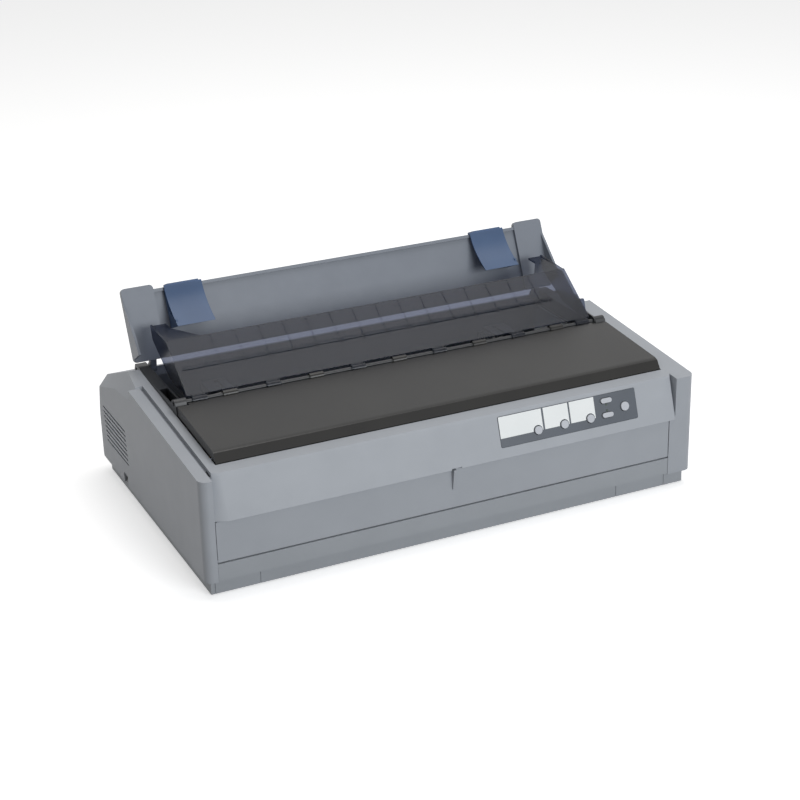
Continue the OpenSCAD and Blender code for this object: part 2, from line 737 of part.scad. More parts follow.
module hinge_rails() {
    rail_base = 142;
    strip_z = rail_base + 3;
    // the dark strip in the wider part of the opening
    color("#222427") along_x(rail_x1 - 1, rail_x1 + notch_w) polygon([
        [notch_y + seat_gap, strip_z], [notch_y + seat_gap, top_z(notch_y) - 1.5],
        [ridge_y - 8, top_z(ridge_y - 8) - 1.5], [opening_y1 - seat_gap - 0.5, rear_z(opening_y1) - 2.5],
        [opening_y1 - seat_gap - 0.5, strip_z]
    ]);
    color("#222427") both_sides() difference() {
        union() {
            along_x(rail_x0 + move_gap + 1, rail_x1) polygon([
                [rod_y - 10, rail_base], [rod_y - 10, rod_z - 8], [rod_y - 6, rod_z + 3],
                [rod_y + 6, rod_z + 3], [rod_y + 12, rod_z - 3], [ledge_end_y, top_z(ledge_end_y) + 2],
                [guide_pivot_y - 12, ridge_z + 1], [guide_pivot_y - 6, guide_pivot_z + 6],
                [guide_pivot_y + 5, guide_pivot_z + 6], [opening_y1 - seat_gap, guide_pivot_z],
                [opening_y1 - seat_gap, rail_base]
            ]);
            block([rail_x0, rod_y - 10, rail_base], [rail_x0 + 2, opening_y1 - seat_gap, rail_base + 6]);
            bar_x(rail_x0 + move_gap + 0.2, rail_x1, rod_y, rod_z, 5.5);
        }
        bar_x(rail_x0 - cut, rail_x1 + cut, rod_y, rod_z, rod_r + run_fit);
        bar_x(rail_x0 - cut, rail_x1 + cut, guide_pivot_y, guide_pivot_z, guide_pin_r + run_fit);
        // slot that the release lever swings in
        block([lever_x - lever_w / 2 - 1, release_y - 19, rail_base - cut],
            [lever_x + lever_w / 2 + 1, release_y + 30, rod_z + 20]);
    }
}

lever_x = 283;
lever_w = 8;
release_y = platen_y - 21;
release_z = 124;
thickness_y = -62;
thickness_z = 108;
lever_pin_r = 3;

// A swing lever about the origin with its arm up along +z
module swing_lever(arm, grip_h) {
    x0 = -lever_w / 2;
    difference() {
        union() {
            along_x(x0 + 1.5, x0 + lever_w - 1.5)
                polygon([[-4, -5], [4, -5], [3, arm], [-3, arm]]);
            translate([x0, 0, arm + grip_h / 2 - 4]) rotate([90, 0, 90])
                linear_extrude(lever_w) round_rect(10, grip_h, 2.5);
            bar_x(x0, x0 + lever_w, 0, 0, 7);
        }
        bar_x(x0 - cut, x0 + lever_w + cut, 0, 0, lever_pin_r + run_fit);
    }
}

module release_lever() {
    color("#3f4a63") translate([lever_x, release_y, release_z]) rotate([-18, 0, 0]) swing_lever(44, 22);
}

module thickness_lever() {
    color("#3b3f44") translate([-lever_x, thickness_y, thickness_z]) rotate([-12, 0, 0])
        swing_lever(28, 14);
}

// ---------------------------------------------------------------- paper guide

module paper_guide() {
    top = guide_h + guide_foot;
    color("#71767d") on_guide() {
        // middle panel with its rolled top rail
        block([-guide_hw + wing_w, -guide_front_w, guide_foot],
            [guide_hw - wing_w, -guide_back_w, top]);
        block([-guide_hw + wing_w, -guide_front_w - 3, top - 4],
            [guide_hw - wing_w, -guide_back_w, top]);
        // shallow upright ribs behind the panel
        for (i = [-4 : 4]) translate([i * 52, 0, 0])
            block([-0.8, -guide_back_w - 0.01, guide_foot], [0.8, -guide_back_w + 3, top - 4]);
        both_sides() {
            // end wings
            difference() {
                translate([guide_hw - wing_w / 2, -guide_back_w, guide_foot + (guide_h + wing_over) / 2])
                    rotate([90, 0, 0]) linear_extrude(guide_t + 4)
                        round_rect(wing_w, guide_h + wing_over, 5);
                block([guide_hw - wing_w + 6, -guide_back_w - 4, guide_foot + 8],
                    [guide_hw - 6, cut, guide_foot + guide_h - 6]);
            }
            // side cheeks that reach forward
            along_x(guide_hw - 3, guide_hw) polygon([
                [-guide_back_w - 2, guide_foot + 4], [-36, guide_foot + 8], [-30, guide_foot + 30],
                [-guide_front_w - 2, top - 10], [-guide_back_w - 2, top - 10]
            ]);
            // pivot lugs and pins
            difference() {
                along_x(rail_x0 - 9, rail_x0 - 1) union() {
                    circle(6);
                    polygon([[-6, 0], [-11.5, guide_foot + 2], [-guide_back_w, guide_foot + 2], [6, 0]]);
                }
            }
            bar_x(rail_x0 - 2, rail_x1 - 3, 0, 0, guide_pin_r);
        }
    }
}

// An edge guide, drawn with its outer side at x = 0 and its plate towards +x
module edge_guide() {
    top = guide_h + guide_foot + 2;
    low = guide_foot + 34;
    w0 = guide_front_w + 3 + move_gap;
    on_guide() {
        // curved plate: flat at the top, bowed forward towards the bottom
        along_x(0, edge_w) edge_profile(2.5, top, low, w0);
        // the fin that closes its outer side
        along_x(0, 2.5) union() {
            edge_profile(2.5, top, low, w0);
            polygon([
                [-w0 + 2, top - 6], [-w0 - 3, top - 34], [-w0 - edge_reach + 2, low + 8],
                [-w0 - edge_reach + 2, low], [-w0 + 2, low]
            ]);
        }
        // the hook over the top rail
        along_x(4, edge_w - 4) polygon([
            [-w0 - 2.5, top - 1], [-w0 - 2.5, top + 1.5], [-guide_back_w + 6, top + 1.5],
            [-guide_back_w + 6, top - 12], [-guide_back_w + 3 + move_gap, top - 12],
            [-guide_back_w + 3 + move_gap, top - 1]
        ]);
    }
}

function bow(t) = edge_reach * pow(t, 1.8);

module edge_profile(t, top, low, w0) {
    steps = 8;
    front = [for (i = [0 : steps]) [-w0 - t - bow(i / steps), top - (top - low) * i / steps]];
    back = [for (i = [steps : -1 : 0]) [-w0 - bow(i / steps), top - (top - low) * i / steps]];
    polygon(concat(front, back));
}

module edge_guide_left() {
    color("#54688c") translate([edge_left_x, 0, 0]) edge_guide();
}

module edge_guide_right() {
    color("#54688c") translate([edge_right_x, 0, 0]) mirror([1, 0, 0]) edge_guide();
}

// ---------------------------------------------------------------- chassis

module base_frame() {
    z0 = 7;
    color("#9aa0a4") difference() {
        union() {
            block([-frame_x - frame_t, frame_y0, z0], [frame_x + frame_t, frame_y1, z0 + 2]);
            // folded front and back edges
            block([-frame_x + 2, frame_y0, z0], [frame_x - 2, frame_y0 + 2, z0 + 22]);
            block([-frame_x + 2, frame_y1 - 2, z0], [frame_x - 2, frame_y1, z0 + 22]);
            // standoffs to the floor of the base
            for (x = [-250, 0, 250], y = [-110, 105])
                translate([x, y, foot_h + 3]) cylinder(r = 6, h = z0 - foot_h - 3 + 0.01);
        }
        for (x = [-180, 180]) block([x - 50, -60, z0 - cut], [x + 50, 40, z0 + 3]);
    }
}

module side_frame() {
    difference() {
        along_x(frame_x, frame_x + frame_t) polygon([
            [frame_y0, 9], [frame_y1, 9], [frame_y1, 140], [105, 146], [-24, 146], [carriage_rod_y - 26, 126],
            [carriage_rod_y - 60, 112], [frame_y0, 80]
        ]);
        bar_x(frame_x - cut, frame_x + 9, carriage_rod_y, carriage_rod_z, carriage_rod_r + run_fit);
        bar_x(frame_x - cut, frame_x + 9, platen_y, platen_z, platen_shaft_r + run_fit);
        bar_x(frame_x - cut, frame_x + 9, tractor_y, platen_z, 5 + run_fit);
        bar_x(frame_x - cut, frame_x + 9, tractor_y, guide_shaft_z, guide_shaft_r + run_fit);
        bar_x(frame_x - cut, frame_x + 9, pinch_y, pinch_z, 2.5 + run_fit);
        // lightening cut-outs
        for (y = [-85, 55]) bar_x(frame_x - cut, frame_x + 9, y, 45, 18);
    }
}

module side_frame_left() {
    color("#a3a8ab") {
        difference() {
            mirror([1, 0, 0]) side_frame();
            // the feed motor's shaft comes through
            bar_x(-frame_x - frame_t - cut, -frame_x + cut, pinion_y, pinion_z, 4);
        }
        // studs for the idler gear and the thickness lever
        bar_x(gear_x - 2, -frame_x - frame_t + 0.01, idler_y, platen_z, 3);
        bar_x(-lever_x - lever_w / 2 - 2, -frame_x - frame_t + 0.01, thickness_y, thickness_z, lever_pin_r);
    }
}

module side_frame_right() {
    color("#a3a8ab") {
        side_frame();
        bar_x(frame_x + frame_t - 0.01, lever_x + lever_w / 2 + 2, release_y, release_z, lever_pin_r);
        // bracket and stud of the belt's tension pulley
        block([pulley_x - 8, belt_y - 10, belt_z - 11], [frame_x + 0.01, belt_y + 10, belt_z - 8]);
        translate([pulley_x, belt_y, belt_z - 9]) cylinder(r = 2.5, h = 17);
    }
}

module carriage_rod() {
    color("#c4c8cb") bar_x(-frame_x - 6, frame_x + 6, carriage_rod_y, carriage_rod_z, carriage_rod_r);
}

module carriage_rail() {
    color("#a9aeb1") along_x(-frame_x, frame_x) polygon([
        [rail_y - 10, rail_z - 20], [rail_y + 2, rail_z - 20], [rail_y + 2, rail_z],
        [rail_y + 0.5, rail_z], [rail_y + 0.5, rail_z - 18], [rail_y - 10, rail_z - 18]
    ]);
}

module paper_chute() {
    r0 = platen_r + 2.5;
    color("#3c4044") difference() {
        union() {
            // the curved trough under and behind the platen
            along_x(-chute_hw, chute_hw) translate([platen_y, platen_z]) difference() {
                circle(r0 + 2);
                circle(r0);
                translate([-60, 0]) square([120, 60]);
                translate([-60, -60]) square([52, 120]);
            }
            // the guide plate that slopes up to the tractors
            along_x(-frame_x, frame_x) polygon([
                [platen_y + r0, platen_z - 0.5], [platen_y + r0 + 2, platen_z - 0.5],
                [platen_y + r0 + 8, platen_z + 14], [platen_y + r0 + 6.5, platen_z + 15]
            ]);
        }
        // windows for the pinch rollers
        for (x = pinch_x) block([x - 12, pinch_y - 12, pinch_z - 12], [x + 12, pinch_y + 12, pinch_z + 14]);
    }
}

chute_hw = 238;
pinch_x = [-180, -108, -36, 36, 108, 180];

module pinch_rollers() {
    color("#2a2b2d") difference() {
        union() {
            for (x = pinch_x) bar_x(x - 9, x + 9, pinch_y, pinch_z, pinch_r);
            bar_x(-frame_x - 5, frame_x + 5, pinch_y, pinch_z, 2.5);
        }
    }
}

module main_board() {
    z = 14;
    color("#2f6b3f") {
        block([-60, -118, z], [frame_x - 10, 20, z + 1.6]);
        for (x = [0, 50, 100, 160, 210]) block([x, -70, z + 1.6], [x + 22, -48, z + 4.5]);
        for (x = [20, 90, 150]) block([x, -20, z + 1.6], [x + 40, -8, z + 10]);
        // standoffs down to the frame plate
        for (x = [-50, frame_x - 22], y = [-112, 12]) translate([x, y, 9]) cylinder(r = 3, h = z - 9 + 0.01);
    }
}

module power_supply() {
    color("#b08c4a") {
        block([-frame_x + 8, -100, 12], [-90, 60, 13.6]);
        for (x = [-frame_x + 22, -104], y = [-94, 54]) translate([x, y, 9]) cylinder(r = 3, h = 3.01);
    }
    color("#8f9497") block([-frame_x + 22, 0, 13.6], [-frame_x + 82, 46, 58]);
    color("#23262b") {
        translate([-150, -60, 13.6]) cylinder(r = 14, h = 36);
        translate([-150, -25, 13.6]) cylinder(r = 14, h = 36);
        block([-236, -84, 13.6], [-196, -44, 30]);
    }
}

module rear_connectors() {
    board_y = back_y - wall - 12;
    color("#2f6b3f") {
        block([port_x0 + 4, board_y - 26, port_z0 + 4], [port_x1 - 4, board_y, port_z0 + 5.6]);
        for (x = [port_x0 + 10, port_x1 - 10])
            translate([x, board_y - 18, foot_h + 3]) cylinder(r = 3, h = port_z0 + 4 - foot_h - 3 + 0.01);
    }
    // wide parallel socket and the small square serial socket
    color("#b9bdc0") difference() {
        block([port_x0 + 8, board_y - 14, port_z0 + 5.6], [port_x0 + 70, back_y - 1, port_z0 + 19]);
        block([port_x0 + 12, board_y, port_z0 + 9], [port_x0 + 66, back_y + cut, port_z0 + 16]);
    }
    color("#17181a") difference() {
        block([port_x0 + 84, board_y - 12, port_z0 + 5.6], [port_x0 + 97, back_y - 1, port_z0 + 17]);
        block([port_x0 + 86.5, board_y, port_z0 + 8], [port_x0 + 94.5, back_y + cut, port_z0 + 15]);
    }
}

module power_inlet() {
    f = seat_gap;
    color("#17181a") difference() {
        union() {
            block([inlet_x - inlet_w / 2 + f, back_y - 26, inlet_z - inlet_h / 2 + f],
                [inlet_x + inlet_w / 2 - f, inlet_y, inlet_z + inlet_h / 2 - f]);
            block([inlet_x - inlet_w / 2 - 5, bay_y + 1.5, inlet_z - inlet_h / 2],
                [inlet_x + inlet_w / 2 + 5, bay_y + 4, inlet_z + inlet_h / 2]);
        }
        translate([inlet_x, inlet_y + cut, inlet_z]) rotate([90, 0, 0])
            linear_extrude(18) round_rect(inlet_w - 6, inlet_h - 7, 3);
    }
    // the three contacts
    color("#c9a65a") for (p = [[-7, -2], [0, 3], [7, -2]])
        block([inlet_x + p.x - 1, inlet_y - 18, inlet_z + p.y - 2],
            [inlet_x + p.x + 1, inlet_y - 6, inlet_z + p.y + 2]);
}

module carriage_motor() {
    z1 = belt_z - 6;
    color("#3a3d41") difference() {
        union() {
            translate([-pulley_x, belt_y, z1 - 34]) cylinder(r = 21, h = 31);
            block([-pulley_x - 22, belt_y - 22, z1 - 3], [-pulley_x + 22, belt_y + 22, z1]);
            // bracket across to the side frame
            block([-frame_x, belt_y - 18, z1 - 3], [-pulley_x - 20, belt_y + 18, z1]);
        }
    }
    color("#c4c8cb") translate([-pulley_x, belt_y, z1 - 1]) cylinder(r = 2.5, h = 18);
}

module drive_pulley() {
    color("#d0d3d2") pulley(-pulley_x, 2.5);
}

module tension_pulley() {
    color("#d0d3d2") pulley(pulley_x, 2.5);
}

module pulley(x, bore) {
    translate([x, belt_y, belt_z - belt_h / 2 - 1.5]) difference() {
        union() {
            cylinder(r = pulley_r, h = belt_h + 3);
            cylinder(r = pulley_r + 2.4, h = 1);
            translate([0, 0, belt_h + 2]) cylinder(r = pulley_r + 2.4, h = 1);
        }
        translate([0, 0, -cut]) cylinder(r = bore + run_fit, h = belt_h + 5);
    }
}

module timing_belt() {
    r0 = pulley_r + seat_gap / 2;
    color("#1c1d1f") translate([0, belt_y, belt_z - belt_h / 2]) linear_extrude(belt_h) difference() {
        pill(2 * (pulley_x + r0 + belt_t), 2 * (r0 + belt_t));
        pill(2 * (pulley_x + r0), 2 * r0);
    }
}

module feed_motor() {
    x0 = -frame_x + seat_gap;
    color("#3a3d41") {
        bar_x(x0, x0 + 26, pinion_y, pinion_z, 19);
    }
    color("#c4c8cb") bar_x(gear_x - 1, x0 + 1, pinion_y, pinion_z, 2);
}

module tractor_guide_shaft() {
    color("#c4c8cb") bar_x(-frame_x - 5, frame_x + 5, tractor_y, guide_shaft_z, guide_shaft_r);
}

// ---------------------------------------------------------------- transport

module platen() {
    color("#232527") difference() {
        bar_x(-platen_hl, platen_hl, platen_y, platen_z, platen_r);
        bar_x(-platen_hl - cut, platen_hl + cut, platen_y, platen_z, platen_shaft_r);
    }
}

module platen_shaft() {
    color("#c4c8cb") bar_x(gear_x - 1, half_w - 8, platen_y, platen_z, platen_shaft_r);
}

module platen_knob() {
    x1 = half_w - 0.5;
    color("#3b3f44") difference() {
        union() {
            bar_x(x1 - 11, x1 - 1.5, platen_y, platen_z, knob_r - 1);
            bar_x(x1 - 2, x1, platen_y, platen_z, knob_r - 2.5);
            for (i = [0 : 17]) translate([0, platen_y, platen_z]) rotate([i * 20, 0, 0])
                translate([x1 - 11, knob_r - 1.4, -1]) cube([9, 1.4, 2]);
        }
        bar_x(half_w - 40, half_w - 8, platen_y, platen_z, platen_shaft_r);
    }
}

module platen_gear() {
    color("#d8dad6") gear_x(gear_x, platen_y, platen_z, platen_teeth, 0, platen_shaft_r);
}

module idler_gear() {
    color("#d8dad6") gear_x(gear_x, idler_y, platen_z, idler_teeth, 180 / idler_teeth, 3 + run_fit);
}

module feed_pinion() {
    color("#c9b06a") gear_x(gear_x, pinion_y, pinion_z, idler_teeth,
        pinion_angle - 180 - 180 / idler_teeth, 2 + run_fit);
}

module tractor_gear() {
    color("#d8dad6") gear_x(gear_x, tractor_y, platen_z, tractor_teeth, 0, 3);
}

module tractor_shaft() {
    s = square_shaft / 2;
    color("#c4c8cb") {
        block([-frame_x + 1, tractor_y - s, platen_z - s], [frame_x - 1, tractor_y + s, platen_z + s]);
        for (x = [-frame_x - frame_t - 2, frame_x - 1])
            bar_x(x, x + frame_t + 3, tractor_y, platen_z, 5);
        bar_x(gear_x - 1, -frame_x, tractor_y, platen_z, 3);
    }
}

// A tractor about x = 0: two side plates joined at the foot, round the pin wheel
module tractor_frame() {
    hw = tractor_w / 2;
    difference() {
        union() {
            for (x = [-hw, hw - 3]) along_x(x, x + 3) polygon([
                [tractor_y - 22, platen_z + 8], [tractor_y + 22, platen_z + 8],
                [tractor_y + 22, platen_z - 8], [tractor_y + 9, guide_shaft_z - 8],
                [tractor_y - 9, guide_shaft_z - 8], [tractor_y - 22, platen_z - 8]
            ]);
            block([-hw, tractor_y - 8, guide_shaft_z - 8], [hw, tractor_y + 8, guide_shaft_z + 7]);
            // paper bed beside the pins
            block([-hw, tractor_y - 22, platen_z + 6], [-hw + 6, tractor_y + 22, platen_z + 9]);
            // lugs and pin of the door's hinge
            for (y = [tractor_y - 21.9, tractor_y + 18.9])
                block([hw - 1, y, platen_z - 2], [hw + 6.5, y + 3, door_pivot_z + 3]);
            translate([hw + 3.3, tractor_y + 21, door_pivot_z]) rotate([90, 0, 0])
                cylinder(r = door_pin_r, h = 42);
        }
        bar_x(-hw - cut, hw + cut, tractor_y, guide_shaft_z, guide_shaft_r + run_fit);
        bar_x(-hw - cut, hw + cut, tractor_y, platen_z, 7);
    }
}

door_pin_r = 1.2;
door_pivot_z = platen_z + 7.5;

// A tractor's door, hinged along Y beside the tractor
module tractor_door() {
    hw = tractor_w / 2;
    z0 = platen_z + 9 + sprocket_r - 4.5;
    len = 18.3;
    difference() {
        union() {
            block([-hw, tractor_y - len, z0], [hw + 4.6, tractor_y + len, z0 + 3]);
            block([hw + 2, tractor_y - len, door_pivot_z], [hw + 4.6, tractor_y + len, z0 + 1]);
            translate([hw + 3.3, tractor_y + len, door_pivot_z]) rotate([90, 0, 0])
                cylinder(r = 2.6, h = 2 * len);
        }
        translate([hw + 3.3, tractor_y + 30, door_pivot_z]) rotate([90, 0, 0])
            cylinder(r = door_pin_r + run_fit, h = 60);
        // slot over the pins
        block([-3, tractor_y - 14, z0 - cut], [3, tractor_y + 14, z0 + 4]);
    }
}

module pin_wheel() {
    w = tractor_w - 2 * 3 - 2 * move_gap;
    s = square_shaft / 2 + 0.2;
    difference() {
        union() {
            bar_x(-w / 2, w / 2, tractor_y, platen_z, sprocket_r - 3);
            bar_x(-3, 3, tractor_y, platen_z, sprocket_r);
            for (i = [0 : 7]) translate([0, tractor_y, platen_z]) rotate([i * 45, 0, 0])
                translate([0, 0, sprocket_r - 2]) cylinder(r = 1.5, h = 4);
        }
        block([-w, tractor_y - s, platen_z - s], [w, tractor_y + s, platen_z + s]);
    }
}

module tractor_left() {
    color("#3c4044") translate([-tractor_x, 0, 0]) tractor_frame();
}

module tractor_right() {
    color("#3c4044") translate([tractor_x, 0, 0]) mirror([1, 0, 0]) tractor_frame();
}

module tractor_door_left() {
    color("#54585c") translate([-tractor_x, 0, 0]) mirror([1, 0, 0]) tractor_door();
}

module tractor_door_right() {
    color("#54585c") translate([tractor_x, 0, 0]) tractor_door();
}

module pin_wheel_left() {
    color("#e0e0da") translate([-tractor_x, 0, 0]) pin_wheel();
}

module pin_wheel_right() {
    color("#e0e0da") translate([tractor_x, 0, 0]) pin_wheel();
}

// ---------------------------------------------------------------- carriage

module carriage() {
    y0 = rail_y + 2 + move_gap;
    color("#2b2d30") difference() {
        union() {
            block([-carriage_hw, carriage_rod_y - 12, carriage_rod_z - 10],
                [carriage_hw, carriage_rod_y + 12, carriage_rod_z + 10]);
            block([-carriage_hw + 4, y0, carriage_rod_z + 2],
                [carriage_hw - 4, carriage_rod_y + 30, carriage_rod_z + 12]);
            // clamp that holds the belt's rear run
            difference() {
                block([-8, belt_y + 6, belt_z - 4], [8, belt_y + 14, carriage_rod_z - 9]);
                block([-9, belt_y + pulley_r - 0.2, belt_z - 5], [9, belt_y + pulley_r + 1.8, belt_z + 3.4]);
            }
            // slipper that rides on the front rail
            block([-carriage_hw + 4, rail_y - 4, carriage_rod_z + 4],
                [carriage_hw - 4, y0 + 1, carriage_rod_z + 12]);
        }
        bar_x(-carriage_hw - cut, carriage_hw + cut, carriage_rod_y, carriage_rod_z, carriage_rod_r + run_fit);
        block([-carriage_hw, rail_y - 0.2, rail_z - 30],
            [carriage_hw, rail_y + 2 + move_gap, rail_z + move_gap]);
    }
}

module print_head() {
    z0 = carriage_rod_z + 12;
    nose_y = ribbon_y - 1.2;
    color("#35383c") {
        // finned body and the tapered nose
        block([-20, carriage_rod_y - 24, z0], [20, carriage_rod_y + 14, z0 + 24]);
        for (i = [0 : 5]) block([-22, carriage_rod_y - 22 + 6 * i, z0 + 2],
            [22, carriage_rod_y - 19 + 6 * i, z0 + 28]);
        translate([0, carriage_rod_y + 14, platen_z]) rotate([-90, 0, 0])
            cylinder(r1 = 13, r2 = 6, h = nose_y - carriage_rod_y - 14);
    }
}

module ribbon_mask() {
    y1 = ribbon_y + 0.9;
    color("#6d7176") {
        difference() {
            block([-24, y1, platen_z - 9], [24, y1 + 0.3, platen_z + 9]);
            block([-5, y1 - cut, platen_z - 3], [5, y1 + cut, platen_z + 3]);
        }
        for (x = [-24, 20]) {
            block([x, ribbon_y - 8, platen_z + 7.5], [x + 4, y1 + 0.3, platen_z + 9]);
            block([x, ribbon_y - 8, carriage_rod_z + 12], [x + 4, ribbon_y - 6.5, platen_z + 9]);
            block([x, carriage_rod_y + 20, carriage_rod_z + 12],
                [x + 4, ribbon_y - 6.5, carriage_rod_z + 13.5]);
        }
    }
}

module ribbon_cartridge() {
    z0 = 112;
    z1 = 130;
    y0 = rail_y - 66;
    y1 = rail_y - 22;
    color("#1f2124") difference() {
        union() {
            translate([0, (y0 + y1) / 2, z0]) linear_extrude(z1 - z0)
                round_rect(2 * cartridge_hw, y1 - y0, 6);
            // the arms that carry the ribbon past the platen
            both_sides() {
                block([cartridge_hw - 12, y1 - 2, z0], [cartridge_hw, ribbon_y + 4, z1 - 4]);
                // mounting ears to the side frames
                block([cartridge_hw - 14, y1 - 20, z0 + 2], [frame_x, y1 - 8, z0 + 5]);
            }
        }
        // ribbon slots in the arms, and the knob's hole
        both_sides() block([cartridge_hw - 13, ribbon_y - 1, platen_z - ribbon_h / 2 - 0.4],
            [cartridge_hw - 5, ribbon_y + 1.4, platen_z + ribbon_h / 2 + 0.4]);
        translate([-150, (y0 + y1) / 2, z1 - 6]) cylinder(r = 4 + run_fit, h = 8);
    }
}

module ribbon_knob() {
    y = rail_y - 44;
    color("#4c5054") translate([-150, y, 0]) {
        translate([0, 0, 124.2]) cylinder(r = 4, h = 7);
        translate([0, 0, 130.5]) cylinder(r = 9, h = 3.5);
        for (a = [0 : 30 : 330]) rotate(a) translate([8.6, -0.7, 130.5]) cube([1.1, 1.4, 3.5]);
    }
}

module ink_ribbon() {
    color("#101114") block([-cartridge_hw + 6, ribbon_y, platen_z - ribbon_h / 2],
        [cartridge_hw - 6, ribbon_y + 0.3, platen_z + ribbon_h / 2]);
}

// ---------------------------------------------------------------- small parts

module control_panel() {
    color("#4a5058") on_fascia() difference() {
        translate([panel_x + panel_w / 2, panel_up + panel_h / 2, -panel_t + 0.01])
            linear_extrude(panel_t - 0.01) round_rect(panel_w, panel_h, 1.8);
        for (u = small_buttons) panel_hole(u, small_button_v) circle(button_r + move_gap);
        panel_hole(pause_u, pause_v) circle(pause_r + move_gap);
        for (v = pill_v) panel_hole(pill_u, v) pill(pill_w + 2 * move_gap, pill_h + 2 * move_gap);
        lamp_places() cube([lamp_size + 0.1, lamp_size + 0.1, 8], center = true);
    }
}

// Each lamp's place on the panel
module lamp_places() {
    for (row = lamp_rows, i = [0 : row[1] - 1])
        translate([panel_x + row[0] + i * lamp_pitch, panel_up + lamp_v, 0]) children();
    for (v = pill_lamp_v) translate([panel_x + pill_u, panel_up + v, 0]) children();
}

module panel_lamps() {
    color("#c7d6a5") on_fascia() lamp_places() translate([0, 0, -0.9])
        cube([lamp_size, lamp_size, 2], center = true);
}

module panel_button(u, v) {
    stem = panel_t + button_travel + 1.5;
    on_fascia() translate([panel_x + u, panel_up + v, -stem]) linear_extrude(stem + button_proud)
        children();
}

module select_button_1() {
    color("#a8abad") panel_button(small_buttons[0], small_button_v) circle(button_r);
}

module select_button_2() {
    color("#a8abad") panel_button(small_buttons[1], small_button_v) circle(button_r);
}

module select_button_3() {
    color("#a8abad") panel_button(small_buttons[2], small_button_v) circle(button_r);
}

module pause_button() {
    color("#a8abad") panel_button(pause_u, pause_v) circle(pause_r);
}

module tear_button_lower() {
    color("#a8abad") panel_button(pill_u, pill_v[0]) pill(pill_w, pill_h);
}

module tear_button_upper() {
    color("#a8abad") panel_button(pill_u, pill_v[1]) pill(pill_w, pill_h);
}

module power_rocker() {
    hd = switch_d / 2 - move_gap;
    color("#141517") translate([rocker_x, switch_y + hd, rocker_z]) rotate([90, 0, 0]) {
        linear_extrude(2 * hd) polygon([
            [-4, -5.5], [-2.4, 0], [-4.9, 5.5], [4, 5], [4, -5]
        ]);
        translate([0, 0, -2.5]) cylinder(r = rocker_pin_r, h = 2 * hd + 5);
    }
}

module case_screws() {
    color("#b4b7b9") for (p = screw_places) translate([p.x, p.y, foot_h + 0.4]) difference() {
        union() {
            cylinder(r = 4, h = 1);
            cylinder(r = screw_r, h = 16);
        }
        // cross recess
        for (a = [0, 90]) rotate(a) translate([-2, -0.4, -cut]) cube([4, 0.8, cut + 0.7]);
    }
}

lower_case();
upper_case();
rubber_feet();
base_frame();
side_frame_left();
side_frame_right();
carriage_rod();
carriage_rail();
control_panel();
panel_lamps();
main_board();
power_supply();
rear_connectors();
power_inlet();
carriage_motor();
feed_motor();
hinge_rails();
hinge_rod();
paper_chute();
ribbon_cartridge();
ink_ribbon();
timing_belt();
tractor_guide_shaft();
case_screws();
pinch_rollers();
printer_cover();
guide_cover();
paper_guide();
edge_guide_left();
edge_guide_right();
release_lever();
front_cover();
platen();
platen_shaft();
platen_knob();
platen_gear();
idler_gear();
feed_pinion();
tractor_shaft();
tractor_gear();
tractor_left();
tractor_right();
tractor_door_left();
tractor_door_right();
pin_wheel_left();
pin_wheel_right();
carriage();
print_head();
ribbon_mask();
drive_pulley();
tension_pulley();
power_rocker();
select_button_1();
select_button_2();
select_button_3();
pause_button();
tear_button_upper();
tear_button_lower();
ribbon_knob();
thickness_lever();
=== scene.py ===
"""Looks of the wide-carriage dot matrix printer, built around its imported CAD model.

Everything is in the model's frame and in metres: +X to the user's right, +Y to the back, +Z up, with the
origin on the table under the middle of the case. The CAD nodes keep their shapes: the moulded pieces get
softened copies that replace them, and every surface gets a procedural material. Sizes below are in
millimetres, and MM turns them into metres.
"""

import json
import math

import bpy
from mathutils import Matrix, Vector

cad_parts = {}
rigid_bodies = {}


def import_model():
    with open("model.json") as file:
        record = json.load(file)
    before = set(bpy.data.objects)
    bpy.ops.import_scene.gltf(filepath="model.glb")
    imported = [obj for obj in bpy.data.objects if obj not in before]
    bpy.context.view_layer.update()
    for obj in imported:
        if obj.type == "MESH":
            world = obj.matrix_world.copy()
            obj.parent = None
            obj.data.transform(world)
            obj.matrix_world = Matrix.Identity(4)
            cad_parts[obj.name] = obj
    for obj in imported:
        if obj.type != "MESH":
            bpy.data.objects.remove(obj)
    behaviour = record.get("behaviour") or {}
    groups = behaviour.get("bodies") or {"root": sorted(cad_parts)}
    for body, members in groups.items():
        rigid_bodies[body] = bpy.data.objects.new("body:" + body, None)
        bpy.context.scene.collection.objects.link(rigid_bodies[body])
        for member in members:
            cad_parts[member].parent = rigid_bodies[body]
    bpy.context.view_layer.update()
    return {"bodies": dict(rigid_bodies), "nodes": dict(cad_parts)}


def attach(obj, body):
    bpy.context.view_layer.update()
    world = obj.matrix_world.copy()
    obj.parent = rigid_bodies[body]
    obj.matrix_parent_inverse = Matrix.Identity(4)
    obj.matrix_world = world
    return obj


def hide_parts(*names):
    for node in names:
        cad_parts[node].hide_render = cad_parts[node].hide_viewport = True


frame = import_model()

MM = 0.001
NODES = frame["nodes"]
BODY_OF = {node: body for body, empty in frame["bodies"].items()
           for node in NODES if NODES[node].parent == empty}

# Places on the case that the added pieces are set by, as in the CAD source
FRONT_Y = -201.0
FASCIA_Z = 95.5
FASCIA_TILT = math.atan(16.0 / 51.0)
PANEL_X = 51.0
PANEL_UP = 12.5


# ---------------------------------------------------------------- materials

# Patches over which a colour or a polish drifts, and the depths of the surface grains, in millimetres
PLASTIC_PATCH = 45
SHEET_PATCH = 60
METAL_PATCH = 30
POLISH_PATCH = 12
MOULD_GRAIN_DEPTH = 0.08
METAL_GRAIN_DEPTH = 0.03
SHEET_WAVE = 6.0
SHEET_WAVE_DEPTH = 0.02
SHEET_WAVE_STRENGTH = 0.08
